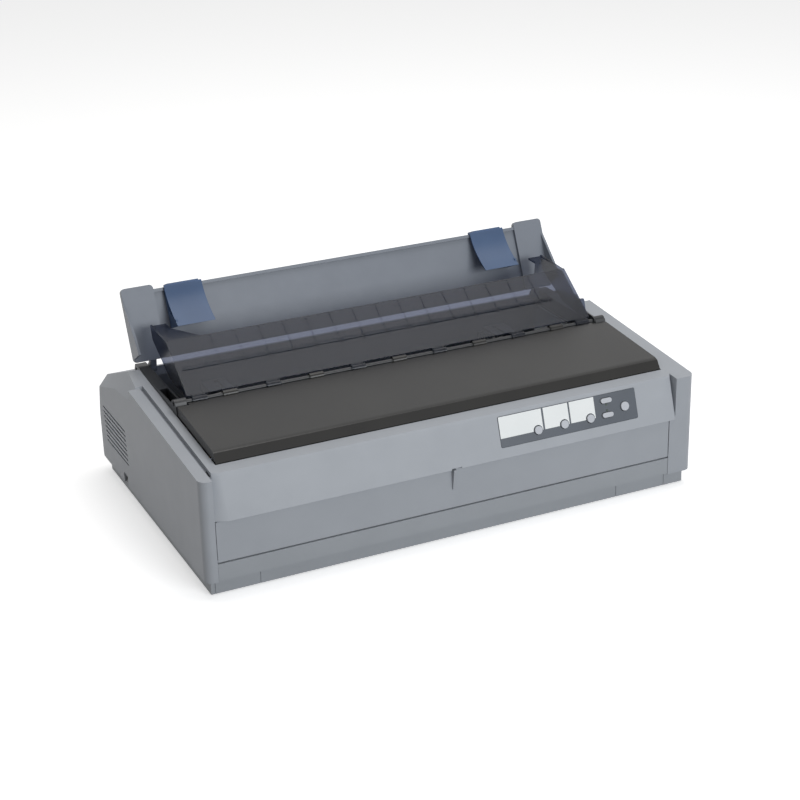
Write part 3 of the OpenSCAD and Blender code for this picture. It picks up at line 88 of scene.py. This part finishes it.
# How far a moulding's roughness drifts either way
POLISH_DRIFT = 0.04
ABS_IOR = 1.5
RUBBER_IOR = 1.52
POLYCARBONATE_IOR = 1.58


def linear(hex_colour):
    """An sRGB hex colour as a linear RGBA tuple."""
    value = hex_colour.lstrip("#")
    channels = [int(value[i:i + 2], 16) / 255 for i in (0, 2, 4)]
    return tuple(c / 12.92 if c <= 0.04045 else ((c + 0.055) / 1.055) ** 2.4 for c in channels) + (1.0,)


def add_node(tree, kind, links=None, **settings):
    """Adds one shader node, sets its properties and sockets, and links its inputs."""
    node = tree.nodes.new(kind)
    for name, value in settings.items():
        if hasattr(node, name) and name not in node.inputs:
            setattr(node, name, value)
        else:
            node.inputs[name.replace("_", " ")].default_value = value
    for socket, source in (links or {}).items():
        tree.links.new(source, node.inputs[socket])
    return node


def new_material(name):
    """An empty node material and its Principled shader, already joined to the output."""
    material = bpy.data.materials.new(name)
    material.use_nodes = True
    tree = material.node_tree
    tree.nodes.clear()
    shader = tree.nodes.new("ShaderNodeBsdfPrincipled")
    output = tree.nodes.new("ShaderNodeOutputMaterial")
    tree.links.new(shader.outputs["BSDF"], output.inputs["Surface"])
    return material, tree, shader


def object_coordinates(tree):
    return tree.nodes.new("ShaderNodeTexCoord").outputs["Object"]


def varied_colour(tree, where, low, high, size_mm):
    """A colour that drifts softly between two near tones over patches of about size_mm."""
    noise = add_node(tree, "ShaderNodeTexNoise", {"Vector": where}, Scale=1.0 / (size_mm * MM), Detail=3.0)
    ramp = add_node(tree, "ShaderNodeValToRGB", {"Fac": noise.outputs["Fac"]})
    ramp.color_ramp.elements[0].position = 0.3
    ramp.color_ramp.elements[0].color = linear(low)
    ramp.color_ramp.elements[1].position = 0.7
    ramp.color_ramp.elements[1].color = linear(high)
    return ramp.outputs["Color"]


def grain_bump(tree, where, grain_mm, height_mm, strength):
    """A fine bump whose grains are about grain_mm across."""
    noise = add_node(tree, "ShaderNodeTexNoise", {"Vector": where}, Scale=1.0 / (grain_mm * MM), Detail=2.0)
    bump = add_node(tree, "ShaderNodeBump", {"Height": noise.outputs["Fac"]},
                    Distance=height_mm * MM, Strength=strength)
    return bump.outputs["Normal"]


def moulded_plastic(name, low, high, roughness, grain_mm, strength, ior=ABS_IOR):
    """Injection-moulded plastic from a spark-eroded tool: an even colour with a very fine, dull grain."""
    material, tree, shader = new_material(name)
    where = object_coordinates(tree)
    tree.links.new(varied_colour(tree, where, low, high, PLASTIC_PATCH), shader.inputs["Base Color"])
    grain = grain_bump(tree, where, grain_mm, MOULD_GRAIN_DEPTH, strength)
    tree.links.new(grain, shader.inputs["Normal"])
    rough = add_node(tree, "ShaderNodeTexNoise", {"Vector": where},
                     Scale=1.0 / (POLISH_PATCH * MM), Detail=2.0)
    spread = add_node(tree, "ShaderNodeMapRange", {"Value": rough.outputs["Fac"]})
    spread.inputs["To Min"].default_value = roughness - POLISH_DRIFT
    spread.inputs["To Max"].default_value = roughness + POLISH_DRIFT
    tree.links.new(spread.outputs["Result"], shader.inputs["Roughness"])
    shader.inputs["IOR"].default_value = ior
    return material


def tinted_plastic(name, tint, body, clear, roughness, gloss):
    """Tinted see-through plastic sheet: a polished face, a dark body and part of the light let through."""
    material, tree, shader = new_material(name)
    where = object_coordinates(tree)
    tree.links.new(varied_colour(tree, where, body[0], body[1], SHEET_PATCH), shader.inputs["Base Color"])
    wave = grain_bump(tree, where, SHEET_WAVE, SHEET_WAVE_DEPTH, SHEET_WAVE_STRENGTH)
    tree.links.new(wave, shader.inputs["Normal"])
    shader.inputs["Roughness"].default_value = roughness
    shader.inputs["IOR"].default_value = POLYCARBONATE_IOR
    shader.inputs["Specular IOR Level"].default_value = gloss
    see = add_node(tree, "ShaderNodeBsdfTransparent")
    see.inputs["Color"].default_value = linear(tint)
    mix = tree.nodes.new("ShaderNodeMixShader")
    mix.inputs["Fac"].default_value = clear
    tree.links.new(shader.outputs["BSDF"], mix.inputs[1])
    tree.links.new(see.outputs["BSDF"], mix.inputs[2])
    output = next(n for n in tree.nodes if n.type == "OUTPUT_MATERIAL")
    tree.links.new(mix.outputs["Shader"], output.inputs["Surface"])
    return material


def metal(name, low, high, roughness, grain_mm, stretch, strength):
    """Bare or plated metal, with fine lines along X where stretch is over 1."""
    material, tree, shader = new_material(name)
    where = object_coordinates(tree)
    mapping = add_node(tree, "ShaderNodeMapping", {"Vector": where})
    mapping.inputs["Scale"].default_value = (1.0 / stretch, 1.0, 1.0)
    tree.links.new(varied_colour(tree, where, low, high, METAL_PATCH), shader.inputs["Base Color"])
    grain = grain_bump(tree, mapping.outputs["Vector"], grain_mm, METAL_GRAIN_DEPTH, strength)
    tree.links.new(grain, shader.inputs["Normal"])
    shader.inputs["Metallic"].default_value = 1.0
    shader.inputs["Roughness"].default_value = roughness
    return material


# Grey ABS of the upper case: a fine, dull spark-eroded grain
CASE_ABS = moulded_plastic("grey_ABS_spark_grain", "#A4A8AE", "#A8ACB2", 0.5, 0.8, 0.25)
# The base is moulded from the same resin, a touch darker
BASE_ABS = moulded_plastic("base_ABS_spark_grain", "#9DA1A6", "#A1A5AA", 0.52, 0.8, 0.25)
# The paper guide's wings and panel: a smoother grey moulding. Its grey is set darker than the wings' own
# tone, as painted shade for the dimmer light on the panel.
GUIDE_ABS_PAINTED_SHADE = moulded_plastic("guide_ABS_satin_painted_shade", "#767C86", "#7B818B", 0.42, 0.6, 0.12)
# Dark grey film of the control panel, screen-printed polycarbonate with a silky face
PANEL_FILM = moulded_plastic("panel_film_silk", "#434A53", "#474E58", 0.4, 0.5, 0.06)
# White print fields of the panel
PRINT_WHITE = moulded_plastic("panel_print_white", "#F2F5F4", "#F7F9F8", 0.45, 0.5, 0.05)
# Light grey keycaps
KEY_ABS = moulded_plastic("key_ABS_satin", "#BFC2C8", "#C4C7CD", 0.38, 0.6, 0.08)
# Black glass-filled plastic of rails, levers and inner mouldings
BLACK_PA = moulded_plastic("black_glass_filled_nylon", "#15171A", "#1A1C20", 0.4, 0.9, 0.2)
DARK_ABS = moulded_plastic("dark_ABS_satin", "#33373C", "#3A3E43", 0.4, 0.8, 0.15)
LEVER_ABS = moulded_plastic("blue_grey_ABS", "#36415A", "#3B4660", 0.36, 0.7, 0.1)
WHITE_POM = moulded_plastic("white_acetal_satin", "#D9DAD5", "#DFE0DB", 0.35, 0.8, 0.06)
RUBBER = moulded_plastic("nitrile_rubber_ground", "#18191A", "#1F2021", 0.75, 1.2, 0.3, ior=RUBBER_IOR)
BOARD = moulded_plastic("green_solder_resist", "#22593A", "#2A6542", 0.3, 2.0, 0.2)
SUPPLY_BOARD = moulded_plastic("paper_laminate_board", "#A98C52", "#B09358", 0.5, 1.5, 0.2)
LAMP = moulded_plastic("lamp_lens_smooth", "#3B4A3A", "#43533F", 0.2, 0.8, 0.03)
RIBBON = moulded_plastic("inked_nylon_weave", "#0D0E10", "#15161A", 0.7, 0.5, 0.5)

# Smoked polycarbonate of the two covers: glossy, dark brown-grey, the works show faintly through
SMOKE = tinted_plastic("smoked_polycarbonate", "#5A5855", ("#1F1E1D", "#262523"), 0.08, 0.25, 0.3)
FLAP_SMOKE = tinted_plastic("smoked_polycarbonate_light", "#B4BACB", ("#23272F", "#2A2E37"), 0.62, 0.2, 0.5)
# Blue see-through edge guides
BLUE_PC = tinted_plastic("blue_polycarbonate", "#8FA3C4", ("#526A8E", "#597296"), 0.3, 0.35, 0.4)

ZINC = metal("zinc_plated_steel", "#A9ADB0", "#B8BCBE", 0.38, 1.2, 1.0, 0.15)
STEEL = metal("ground_steel_bar", "#B5B7B8", "#C3C5C6", 0.18, 0.5, 12.0, 0.1)
BRASS = metal("turned_brass", "#B99A55", "#C6A864", 0.28, 0.6, 1.0, 0.1)
MOTOR = moulded_plastic("black_painted_motor", "#26282B", "#2E3034", 0.42, 1.0, 0.3)

NODE_MATERIALS = {
    "lower_case": BASE_ABS, "upper_case": CASE_ABS, "front_cover": CASE_ABS, "rubber_feet": RUBBER,
    "base_frame": ZINC, "side_frame_left": ZINC, "side_frame_right": ZINC, "carriage_rod": STEEL,
    "carriage_rail": ZINC, "control_panel": PANEL_FILM, "panel_lamps": LAMP, "main_board": BOARD,
    "power_supply": SUPPLY_BOARD, "rear_connectors": MOTOR, "power_inlet": BLACK_PA,
    "carriage_motor": MOTOR, "feed_motor": MOTOR, "hinge_rails": BLACK_PA, "hinge_rod": BLACK_PA,
    "paper_chute": DARK_ABS, "ribbon_cartridge": BLACK_PA, "ink_ribbon": RIBBON, "timing_belt": RUBBER,
    "tractor_guide_shaft": STEEL, "case_screws": ZINC, "pinch_rollers": RUBBER, "printer_cover": SMOKE,
    "guide_cover": FLAP_SMOKE, "paper_guide": GUIDE_ABS_PAINTED_SHADE, "edge_guide_left": BLUE_PC,
    "edge_guide_right": BLUE_PC, "release_lever": LEVER_ABS, "platen": RUBBER, "platen_shaft": STEEL,
    "platen_knob": DARK_ABS, "platen_gear": WHITE_POM, "idler_gear": WHITE_POM, "feed_pinion": BRASS,
    "tractor_shaft": STEEL, "tractor_gear": WHITE_POM, "tractor_left": DARK_ABS, "tractor_right": DARK_ABS,
    "tractor_door_left": DARK_ABS, "tractor_door_right": DARK_ABS, "pin_wheel_left": WHITE_POM,
    "pin_wheel_right": WHITE_POM, "carriage": BLACK_PA, "print_head": MOTOR, "ribbon_mask": ZINC,
    "drive_pulley": WHITE_POM, "tension_pulley": WHITE_POM, "power_rocker": BLACK_PA,
    "select_button_1": KEY_ABS, "select_button_2": KEY_ABS, "select_button_3": KEY_ABS,
    "pause_button": KEY_ABS, "tear_button_upper": KEY_ABS, "tear_button_lower": KEY_ABS,
    "ribbon_knob": DARK_ABS, "thickness_lever": DARK_ABS,
}


def paint(piece, material):
    """Gives a piece this one material in every slot."""
    if not piece.data.materials:
        piece.data.materials.append(material)
    for index in range(len(piece.data.materials)):
        piece.data.materials[index] = material


for node, material in NODE_MATERIALS.items():
    paint(NODES[node], material)


# ---------------------------------------------------------------- shaping helpers

WELD_DISTANCE = 0.01
FLAT_DEG = 0.6
SHARP_DEG = 28
SMOOTH_DEG = 32
EDGE_SEGMENTS = 2


def only(piece):
    """Makes piece the one selected and active object."""
    bpy.ops.object.select_all(action="DESELECT")
    piece.select_set(True)
    bpy.context.view_layer.objects.active = piece


def softened(node, edge_mm, merge_flat):
    """A copy of a CAD node with its sharp edges rounded, which stands in for the node."""
    source = NODES[node]
    piece = source.copy()
    piece.data = source.data.copy()
    for key in list(piece.keys()):
        if key.startswith("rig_"):
            del piece[key]
    piece.name = node + "_moulding"
    piece.data.name = piece.name
    piece.parent = None
    bpy.context.scene.collection.objects.link(piece)
    only(piece)
    bpy.ops.object.mode_set(mode="EDIT")
    bpy.ops.mesh.select_all(action="SELECT")
    bpy.ops.mesh.remove_doubles(threshold=WELD_DISTANCE * MM)
    bpy.ops.mesh.normals_make_consistent(inside=False)
    if merge_flat:
        bpy.ops.mesh.dissolve_limited(angle_limit=math.radians(FLAT_DEG))
    bpy.ops.object.mode_set(mode="OBJECT")
    if piece.data.has_custom_normals:
        bpy.ops.mesh.customdata_custom_splitnormals_clear()
    bevel = piece.modifiers.new("edge", "BEVEL")
    bevel.width = edge_mm * MM
    bevel.segments = EDGE_SEGMENTS
    bevel.limit_method = "ANGLE"
    bevel.angle_limit = math.radians(SHARP_DEG)
    bevel.miter_outer = "MITER_ARC"
    bevel.use_clamp_overlap = True
    bpy.ops.object.modifier_apply(modifier=bevel.name)
    bpy.ops.object.shade_smooth_by_angle(angle=math.radians(SMOOTH_DEG))
    weighted = piece.modifiers.new("flat_faces", "WEIGHTED_NORMAL")
    weighted.mode = "FACE_AREA"
    weighted.weight = 100
    weighted.keep_sharp = True
    bpy.ops.object.modifier_apply(modifier=weighted.name)
    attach(piece, BODY_OF[node])
    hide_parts(node)


# Pieces with slots or pockets inside a flat face, whose faces aren't merged before the edges are rounded
SLOTTED = ("guide_cover", "upper_case", "paper_guide")
MOULDINGS = {
    "upper_case": 1.0, "lower_case": 0.8, "front_cover": 0.7, "control_panel": 0.3,
    "printer_cover": 0.5, "guide_cover": 0.3, "paper_guide": 0.6, "edge_guide_left": 0.35,
    "edge_guide_right": 0.35, "hinge_rails": 0.6, "release_lever": 0.6, "thickness_lever": 0.5,
    "power_rocker": 0.3, "ribbon_cartridge": 0.8, "rubber_feet": 0.4, "select_button_1": 0.5,
    "select_button_2": 0.5, "select_button_3": 0.5, "pause_button": 0.5, "tear_button_upper": 0.5,
    "tear_button_lower": 0.5,
}
for node, edge in MOULDINGS.items():
    softened(node, edge, merge_flat=node not in SLOTTED)


# ---------------------------------------------------------------- control panel print

PRINT_T = 0.12
PRINT_EDGE = 0.05
FIELD_FOOT = 10.8
FIELD_TOP = 36.5
# Each field's left and right edge, and the place of the button that it leaves a ring for
FIELDS = ((0.6, 57.7, 50.7), (60.2, 93.5, 86.4), (95.7, 129.5, 122.1))
BUTTON_V = 11.6
RING_R = 6.2
RING_SIDES = 40
CUTTER_DEPTH = 6
UPRIGHT_ON_FASCIA = (math.pi / 2 - FASCIA_TILT, 0, 0)


def on_fascia(u_mm, v_mm, out_mm):
    """A point on the fascia: u along it from the panel's left edge, v up it from the panel's foot."""
    up = (PANEL_UP + v_mm) * MM
    along = Vector((0, math.sin(FASCIA_TILT), math.cos(FASCIA_TILT)))
    out = Vector((0, -math.cos(FASCIA_TILT), math.sin(FASCIA_TILT)))
    foot = Vector(((PANEL_X + u_mm) * MM, FRONT_Y * MM, FASCIA_Z * MM))
    return foot + along * up + out * out_mm * MM


def printed_field(name, left, right, button_u):
    """A thin white patch on the panel, with softened edges and an open ring round its button."""
    bpy.ops.object.select_all(action="DESELECT")
    middle = on_fascia((left + right) / 2, (FIELD_FOOT + FIELD_TOP) / 2, PRINT_T / 2)
    bpy.ops.mesh.primitive_cube_add(size=1, location=middle, rotation=UPRIGHT_ON_FASCIA)
    piece = bpy.context.object
    piece.name = name
    piece.scale = ((right - left) * MM, (FIELD_TOP - FIELD_FOOT) * MM, PRINT_T * MM)
    bpy.ops.object.transform_apply(location=True, rotation=True, scale=True)
    bpy.ops.mesh.primitive_cylinder_add(vertices=RING_SIDES, radius=RING_R * MM, depth=CUTTER_DEPTH * MM,
                                        location=on_fascia(button_u, BUTTON_V, 0),
                                        rotation=UPRIGHT_ON_FASCIA)
    cutter = bpy.context.object
    only(piece)
    hole = piece.modifiers.new("ring", "BOOLEAN")
    hole.object = cutter
    hole.operation = "DIFFERENCE"
    hole.solver = "EXACT"
    bpy.ops.object.modifier_apply(modifier=hole.name)
    bpy.data.objects.remove(cutter)
    only(piece)
    bevel = piece.modifiers.new("edge", "BEVEL")
    bevel.width = PRINT_EDGE * MM
    bevel.segments = 1
    bpy.ops.object.modifier_apply(modifier=bevel.name)
    paint(piece, PRINT_WHITE)
    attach(piece, "case")


for number, (left, right, button_u) in enumerate(FIELDS, 1):
    printed_field("print_field_%d" % number, left, right, button_u)


# ---------------------------------------------------------------- stage

FLOOR_SIZE = 14
# The floor lies just under the feet, so that the two faces don't fight
FLOOR_PLACE = (0, 2.0, -0.0002)
FLOOR_BOUNCE = "#939393"
FLOOR_LIFT = 0.5
# The world's strength as light on the part, and where it is seen or mirrored
WORLD_LIGHT = 0.30
WORLD_SEEN = 1.0
LAMP_AIM = (0, 0, 0.1)
COOL_WHITE = (0.93, 0.965, 1.0)
WARM_WHITE = (1.0, 0.99, 0.975)


def seen_directly(tree):
    """1 for camera, mirror and see-through rays, and 0 for the light that a surface gathers."""
    path = tree.nodes.new("ShaderNodeLightPath")
    most = add_node(tree, "ShaderNodeMath", operation="MAXIMUM")
    tree.links.new(path.outputs["Is Camera Ray"], most.inputs[0])
    tree.links.new(path.outputs["Is Glossy Ray"], most.inputs[1])
    all_three = add_node(tree, "ShaderNodeMath", operation="MAXIMUM")
    tree.links.new(most.outputs["Value"], all_three.inputs[0])
    tree.links.new(path.outputs["Is Transmission Ray"], all_three.inputs[1])
    return all_three.outputs["Value"]


def stage_material(name, lit, lift):
    """White paper floor: white with a soft shadow where it is seen, and a duller grey to bounced light."""
    material = bpy.data.materials.new(name)
    material.use_nodes = True
    tree = material.node_tree
    tree.nodes.clear()
    bounced = add_node(tree, "ShaderNodeBsdfDiffuse")
    bounced.inputs["Color"].default_value = linear(lit)
    white = add_node(tree, "ShaderNodeBsdfDiffuse")
    white.inputs["Color"].default_value = linear("#FFFFFF")
    glow = add_node(tree, "ShaderNodeEmission")
    glow.inputs["Strength"].default_value = lift
    lifted = tree.nodes.new("ShaderNodeAddShader")
    tree.links.new(white.outputs["BSDF"], lifted.inputs[0])
    tree.links.new(glow.outputs["Emission"], lifted.inputs[1])
    mix = tree.nodes.new("ShaderNodeMixShader")
    tree.links.new(seen_directly(tree), mix.inputs["Fac"])
    tree.links.new(bounced.outputs["BSDF"], mix.inputs[1])
    tree.links.new(lifted.outputs["Shader"], mix.inputs[2])
    output = tree.nodes.new("ShaderNodeOutputMaterial")
    tree.links.new(mix.outputs["Shader"], output.inputs["Surface"])
    return material


bpy.ops.object.select_all(action="DESELECT")
bpy.ops.mesh.primitive_plane_add(size=FLOOR_SIZE, location=FLOOR_PLACE)
floor = bpy.context.object
floor.name = "studio_floor"
paint(floor, stage_material("studio_floor_paper", FLOOR_BOUNCE, FLOOR_LIFT))

world = bpy.data.worlds.new("studio")
bpy.context.scene.world = world
world.use_nodes = True
world_tree = world.node_tree
background = world_tree.nodes["Background"]
level = add_node(world_tree, "ShaderNodeMapRange", {"Value": seen_directly(world_tree)})
level.inputs["To Min"].default_value = WORLD_LIGHT
level.inputs["To Max"].default_value = WORLD_SEEN
world_tree.links.new(level.outputs["Result"], background.inputs["Strength"])
background.inputs["Color"].default_value = (1, 1, 1, 1)


def softbox(name, place, width, height, watts, tone):
    """A rectangular lamp at place, turned to the part."""
    lamp = bpy.data.lights.new(name, "AREA")
    lamp.color = tone
    lamp.shape = "RECTANGLE"
    lamp.size = width
    lamp.size_y = height
    lamp.energy = watts
    holder = bpy.data.objects.new(name, lamp)
    bpy.context.scene.collection.objects.link(holder)
    holder.location = place
    holder.rotation_euler = (Vector(LAMP_AIM) - Vector(place)).to_track_quat("-Z", "Y").to_euler()


softbox("key_softbox", (0.6, -2.6, 0.95), 1.4, 1.0, 34, COOL_WHITE)
softbox("top_softbox", (0.3, 0.3, 2.4), 2.2, 1.6, 24, WARM_WHITE)

# ---------------------------------------------------------------- camera

CAMERA_AZIMUTH = math.radians(-24.91)
CAMERA_ELEVATION = math.radians(23.26)
CAMERA_ROLL = math.radians(-1.38)
CAMERA_DISTANCE = 2.271
AIM = Vector((0.0149, 0.0041, 0.100))
LENS = 81.4
SENSOR = 36

back = Vector((math.sin(CAMERA_AZIMUTH) * math.cos(CAMERA_ELEVATION),
               -math.cos(CAMERA_AZIMUTH) * math.cos(CAMERA_ELEVATION), math.sin(CAMERA_ELEVATION)))
right = Vector((math.cos(CAMERA_AZIMUTH), math.sin(CAMERA_AZIMUTH), 0))
up = back.cross(right)
rolled_right = right * math.cos(CAMERA_ROLL) + up * math.sin(CAMERA_ROLL)
rolled_up = up * math.cos(CAMERA_ROLL) - right * math.sin(CAMERA_ROLL)
camera_data = bpy.data.cameras.new("photo_camera")
camera_data.lens = LENS
camera_data.sensor_width = SENSOR
camera = bpy.data.objects.new("photo_camera", camera_data)
bpy.context.scene.collection.objects.link(camera)
turn = camera.matrix_world.copy()
for row in range(3):
    turn[row][0] = rolled_right[row]
    turn[row][1] = rolled_up[row]
    turn[row][2] = back[row]
    turn[row][3] = (AIM + back * CAMERA_DISTANCE)[row]
camera.matrix_world = turn
bpy.context.scene.camera = camera

bpy.context.scene.view_settings.view_transform = "Standard"

bpy.context.view_layer.update()
